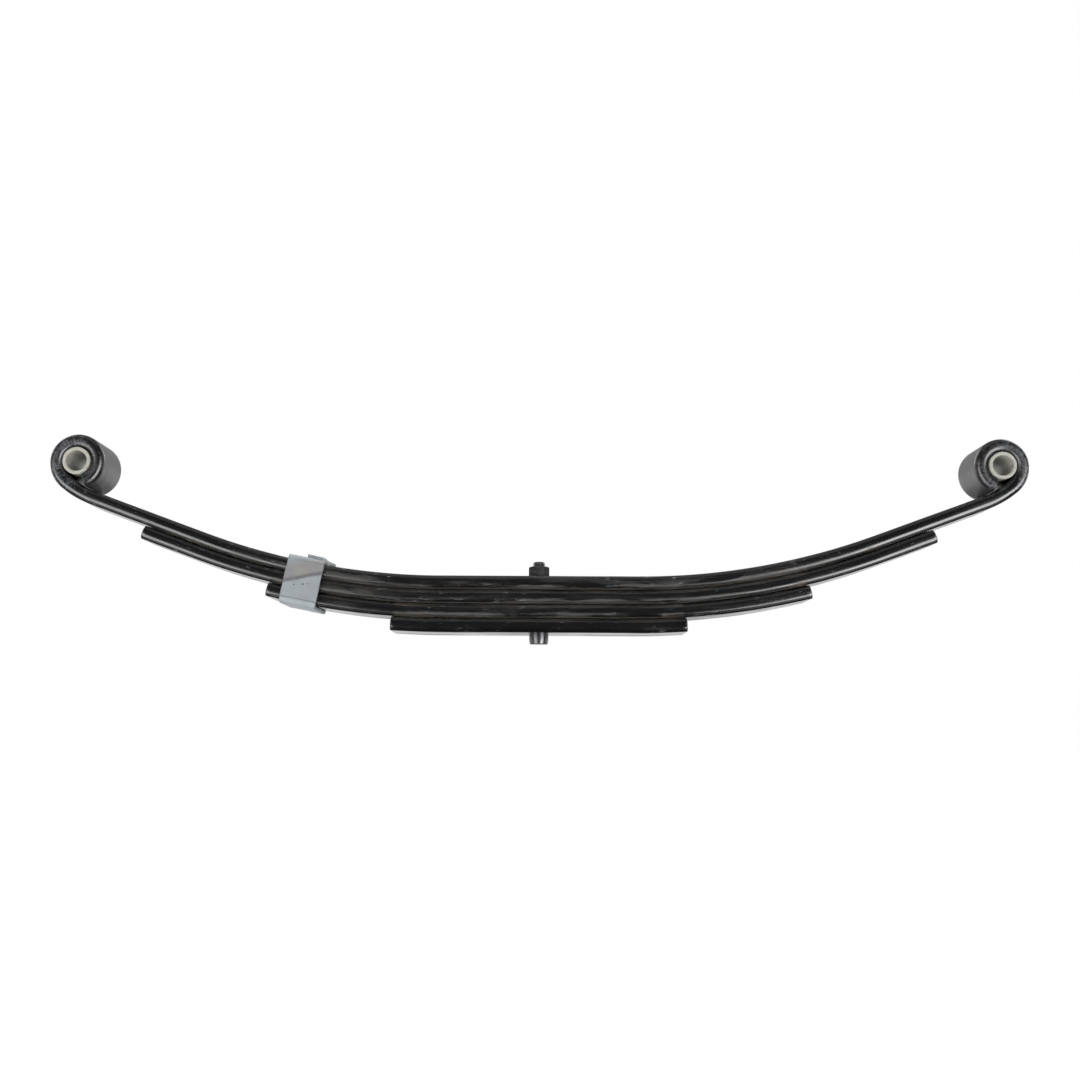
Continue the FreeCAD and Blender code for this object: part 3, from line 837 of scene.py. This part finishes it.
def moulded_nylon(name):
    """Off-white moulded plastic, a little yellowed and scuffed, with faint turning marks, and
    painted shade darkening the middle of the bore.
    """
    finish = bpy.context.scene.leaf_spring_finish
    r = Recipe(name)
    place = r.place()
    cloud = r.noise(place, 140.0, 4.0, 0.6, 0.3)
    fine = r.noise(place, (900.0, 120.0, 900.0), 2.0, 0.5)
    grime = r.product(r.ramp(cloud, 0.58, 0.74), r.ramp(fine, 0.45, 0.6))
    # Painted shade darkens the middle of the bore, where little light reaches.
    _, y, _ = r.parts(place)
    inside = r.ramp(r.size(y), HALF_WIDTH * 0.75, 0.0)
    nylon = r.layers(finish.nylon, (r.ramp(cloud, 0.35, 0.7), scaled(finish.nylon, 1.12)),
                     (r.product(grime, 0.25), finish.grime), (r.product(inside, 0.75), finish.bore_shade))
    normal = r.bump(fine, 0.2, 0.00006)
    rough = r.ramp(cloud, 0.3, 0.7, 0.36, 0.5)
    r.surface(Base_Color=nylon, Roughness=rough, Normal=normal, Subsurface_Weight=0.12,
              Subsurface_Scale=0.002)
    return r.material


def dark_steel(name, base, smooth, dull, grain_scale):
    """Blackened steel with a fine grain and rubbed lighter patches, whose roughness goes from
    smooth to dull."""
    r = Recipe(name)
    place = r.place()
    grain = r.noise(place, grain_scale, 3.0, 0.6)
    patch = r.noise(place, grain_scale / 7.0, 3.0, 0.6, 0.4)
    steel = r.layers(scaled(base, 0.7), (r.ramp(patch, 0.35, 0.7), scaled(base, 1.35)))
    r.surface(Base_Color=steel, Roughness=r.ramp(patch, 0.3, 0.7, smooth, dull),
              Normal=r.bump(grain, 0.3, 0.00005), Metallic=0.6)
    return r.material


def pale_floor(name):
    """Pale floor with a faint unevenness, glowing white far away so that it has no visible edge."""
    studio = bpy.context.scene.leaf_spring_studio
    r = Recipe(name)
    place = r.place()
    cloud = r.noise(place, 3.0, 2.0, 0.5)
    far = r.ramp(r.length(place), studio.floor_clear, studio.floor_white)
    tone = r.layers(studio.floor_colour, (cloud, scaled(studio.floor_colour, 0.99)))
    r.surface(Base_Color=tone, Roughness=0.9, Emission_Color=(1.0, 1.0, 1.0, 1.0),
              Emission_Strength=far, Specular_IOR_Level=0.1)
    return r.material


# ---------------- operators

class LEAFSPRING_OT_leaves(bpy.types.Operator):
    """Build the four leaves: three that bend in two halves each, and the short one"""

    bl_idname = "leafspring.leaves"
    bl_label = "Leaves"

    def execute(self, context):
        shape = context.scene.leaf_spring_shape
        ends = [camber_station(shape, number * PITCH, leaf_box(node)[1][0])
                for number, node in enumerate(("leaf_2_rear", "leaf_3_rear", "leaf_4"), 1)]
        # The short leaf bears on its neighbour over its whole length, and only the main one has eyes.
        reaches = (*ends, ends[-1] * 1.3)
        eye_start = sum(length for length, _ in camber_moves(shape)) - 0.012
        offsets = (0.0, 1.37, 2.74, 5.1)
        hazes = (0.55, 0.3, 0.3, 0.05)
        for number, node in enumerate(("main_leaf", "leaf_2", "leaf_3", "leaf_4")):
            rigid = node == "leaf_4"
            moves = cut_moves(camber_moves(shape), ends[number - 1]) if number else eye_moves(shape)
            cut_end = sum(length for length, _ in moves)
            paint = enamel(f"{node}_enamel", (number > 0, not rigid), reaches[number], cut_end,
                           2.0 * cut_end if number else eye_start, offsets[number], hazes[number])
            for side, hand in (("rear", 1), ("front", -1)):
                piece = leaf_half(f"{node}_{side}_half", moves, number * PITCH, paint, hand,
                                  number + hand * 0.4)
                if rigid:
                    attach(piece, "center")
                    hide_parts("leaf_4")
                else:
                    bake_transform(piece)
                    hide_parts(f"{node}_center", f"{node}_{side}")
        return {"FINISHED"}


class LEAFSPRING_OT_bushings(bpy.types.Operator):
    """Build the two plastic bushes in the eyes"""

    bl_idname = "leafspring.bushings"
    bl_label = "Bushings"

    def execute(self, context):
        nylon = moulded_nylon("nylon")
        for side, hand in (("rear", 1), ("front", -1)):
            piece = bushing(f"{side}_eye_bushing", hand, nylon)
            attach(piece, f"{side}_main_arm")
            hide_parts(f"{side}_bushing")
        return {"FINISHED"}


class LEAFSPRING_OT_center_bolt(bpy.types.Operator):
    """Build the centre bolt and its nut"""

    bl_idname = "leafspring.center_bolt"
    bl_label = "Centre bolt and nut"

    def execute(self, context):
        finish = context.scene.leaf_spring_finish
        oiled = dark_steel("bolt_steel", finish.steel, 0.14, 0.24, 1400.0)
        phosphated = dark_steel("nut_phosphate", finish.phosphate, 0.5, 0.68, 2200.0)
        pieces = ((bolt("locating_bolt", oiled), "center_bolt"),
                  (nut("hexagon_nut", phosphated), "center_nut"))
        for piece, node in pieces:
            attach(piece, "center")
            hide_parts(node)
        return {"FINISHED"}


class LEAFSPRING_OT_rebound_clip(bpy.types.Operator):
    """Build the rebound clip at the front end"""

    bl_idname = "leafspring.rebound_clip"
    bl_label = "Rebound clip"

    def execute(self, context):
        piece = clip("strap_clip", zinc_plate("zinc_plate"))
        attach(piece, "front_leaf_3_arm")
        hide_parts("rebound_clip")
        return {"FINISHED"}


def studio_world(softbox):
    """Pure white behind the object, and for every other ray a studio: soft walls, a bright
    ceiling, a white backdrop, tall softboxes at both sides of the camera and smaller ones at the
    back, and low wide ones beside the object.

    Radiance is a sum of smooth boxes in azimuth (0 towards the camera, positive to +X) and
    elevation, in degrees."""
    world = bpy.data.worlds.new("studio")
    world.use_nodes = True
    world.node_tree.nodes.clear()
    n = Nodes(world.node_tree)

    def step(angle, low, high):
        return n.ramp(angle, math.radians(low), math.radians(high))

    def box(angle, low, high, soft):
        return n.product(step(angle, low - soft, low + soft), step(angle, high + soft, high - soft))

    to_right, to_back, upwards = n.parts(n.add("TexCoord", {}).outputs["Generated"])
    elevation = n.calc("ARCSINE", upwards)
    azimuth = n.calc("ARCTAN2", to_right, n.product(to_back, -1.0))
    aside = n.size(azimuth)
    # Each softbox leans inwards at its foot.
    lean = n.product(elevation, 0.15)
    right = box(n.calc("SUBTRACT", azimuth, lean), 24.0, 58.0, 4.0)
    left = box(n.calc("SUBTRACT", n.product(azimuth, -1.0), lean), 24.0, 58.0, 4.0)
    tall = box(elevation, -46.0, 7.0, 6.0)
    behind = step(aside, 75.0, 110.0)
    lights = (
        (right, tall, softbox),
        (left, tall, softbox * 0.6),
        # Low and wide beside the object, then the backdrop, the wall above it and the rear softboxes
        (box(aside, 42.0, 105.0, 14.0), box(elevation, -75.0, -42.0, 8.0), 0.7),
        (behind, box(elevation, -17.0, 8.0, 8.0), 0.95),
        (behind, box(elevation, 8.0, 46.0, 8.0), 0.5),
        (box(aside, 128.0, 148.0, 6.0), box(elevation, 12.0, 50.0, 8.0), softbox * 0.5),
        # The wall behind the camera, and the ceiling
        (step(aside, 110.0, 75.0), step(elevation, -55.0, -10.0), 0.05),
        (step(elevation, 38.0, 72.0), 0.3),
    )
    radiance = n.sum_of(0.03, *(n.product(*light) for light in lights))
    seen = n.add("LightPath", {}).outputs["Is Camera Ray"]
    strength = n.add("Mix", {0: seen, 2: radiance, 3: 1.0}, data_type="FLOAT").outputs[0]
    background = n.add("Background", {"Color": (1.0, 1.0, 1.0, 1.0), "Strength": strength})
    n.add("OutputWorld", {"Surface": background.outputs[0]})
    return world


class LEAFSPRING_OT_stage(bpy.types.Operator):
    """Set up the camera, the pale floor and the soft studio light"""

    bl_idname = "leafspring.stage"
    bl_label = "Stage"

    def execute(self, context):
        scene = context.scene
        studio = scene.leaf_spring_studio
        lens = bpy.data.cameras.new("camera")
        lens.lens = studio.lens
        lens.sensor_width = 36.0
        camera = bpy.data.objects.new("camera", lens)
        pitch = Matrix.Rotation(math.pi / 2.0 + studio.camera_pitch, 4, "X")
        roll = Matrix.Rotation(studio.camera_roll, 4, "Z")
        place = Matrix.Translation((studio.camera_side, -studio.camera_distance, -studio.camera_drop))
        camera.matrix_world = place @ pitch @ roll
        scene.collection.objects.link(camera)
        scene.camera = camera
        corners = np.array([(-1, -1, 0), (1, -1, 0), (1, 1, 0), (-1, 1, 0)]) * studio.floor_half
        corners = corners - np.array((0.0, 0.0, studio.floor_drop))
        floor = make_piece("floor", corners, np.array([(0, 1, 2, 3)]), np.empty((0, 3), int),
                           pale_floor("floor"))
        floor.visible_glossy = False
        lamp = bpy.data.lights.new("top_light", "AREA")
        lamp.shape = "DISK"
        lamp.size = studio.top_light_size
        lamp.energy = studio.top_light
        light = bpy.data.objects.new("top_light", lamp)
        light.location = (0.0, studio.top_light_back, studio.top_light_height)
        light.visible_camera = False
        light.visible_glossy = False
        scene.collection.objects.link(light)
        scene.world = studio_world(studio.softbox)
        scene.view_settings.view_transform = "Standard"
        return {"FINISHED"}


class LEAFSPRING_PT_panel(bpy.types.Panel):
    """Lists the pieces and their settings"""

    bl_idname = "LEAFSPRING_PT_panel"
    bl_label = "Leaf spring"
    bl_space_type = "VIEW_3D"
    bl_region_type = "UI"
    bl_category = "Leaf spring"

    def draw(self, context):
        for operator in OPERATORS:
            self.layout.operator(operator.bl_idname)
        for setting in SETTINGS:
            group = getattr(context.scene, setting)
            box = self.layout.box()
            for name in group.__annotations__:
                box.prop(group, name)


OPERATORS = (
    LEAFSPRING_OT_stage,
    LEAFSPRING_OT_leaves,
    LEAFSPRING_OT_bushings,
    LEAFSPRING_OT_center_bolt,
    LEAFSPRING_OT_rebound_clip,
)
SETTINGS = {
    "leaf_spring_shape": LeafSpringShape,
    "leaf_spring_finish": LeafSpringFinish,
    "leaf_spring_studio": LeafSpringStudio,
}


def register():
    for name, group in SETTINGS.items():
        bpy.utils.register_class(group)
        setattr(bpy.types.Scene, name, bpy.props.PointerProperty(type=group))
    for cls in (*OPERATORS, LEAFSPRING_PT_panel):
        bpy.utils.register_class(cls)


def unregister():
    for cls in reversed((*OPERATORS, LEAFSPRING_PT_panel)):
        bpy.utils.unregister_class(cls)
    for name, group in reversed(SETTINGS.items()):
        delattr(bpy.types.Scene, name)
        bpy.utils.unregister_class(group)


def main():
    register()
    bpy.ops.leafspring.stage()
    bpy.ops.leafspring.leaves()
    bpy.ops.leafspring.bushings()
    bpy.ops.leafspring.center_bolt()
    bpy.ops.leafspring.rebound_clip()


if __name__ == "__main__":
    main()
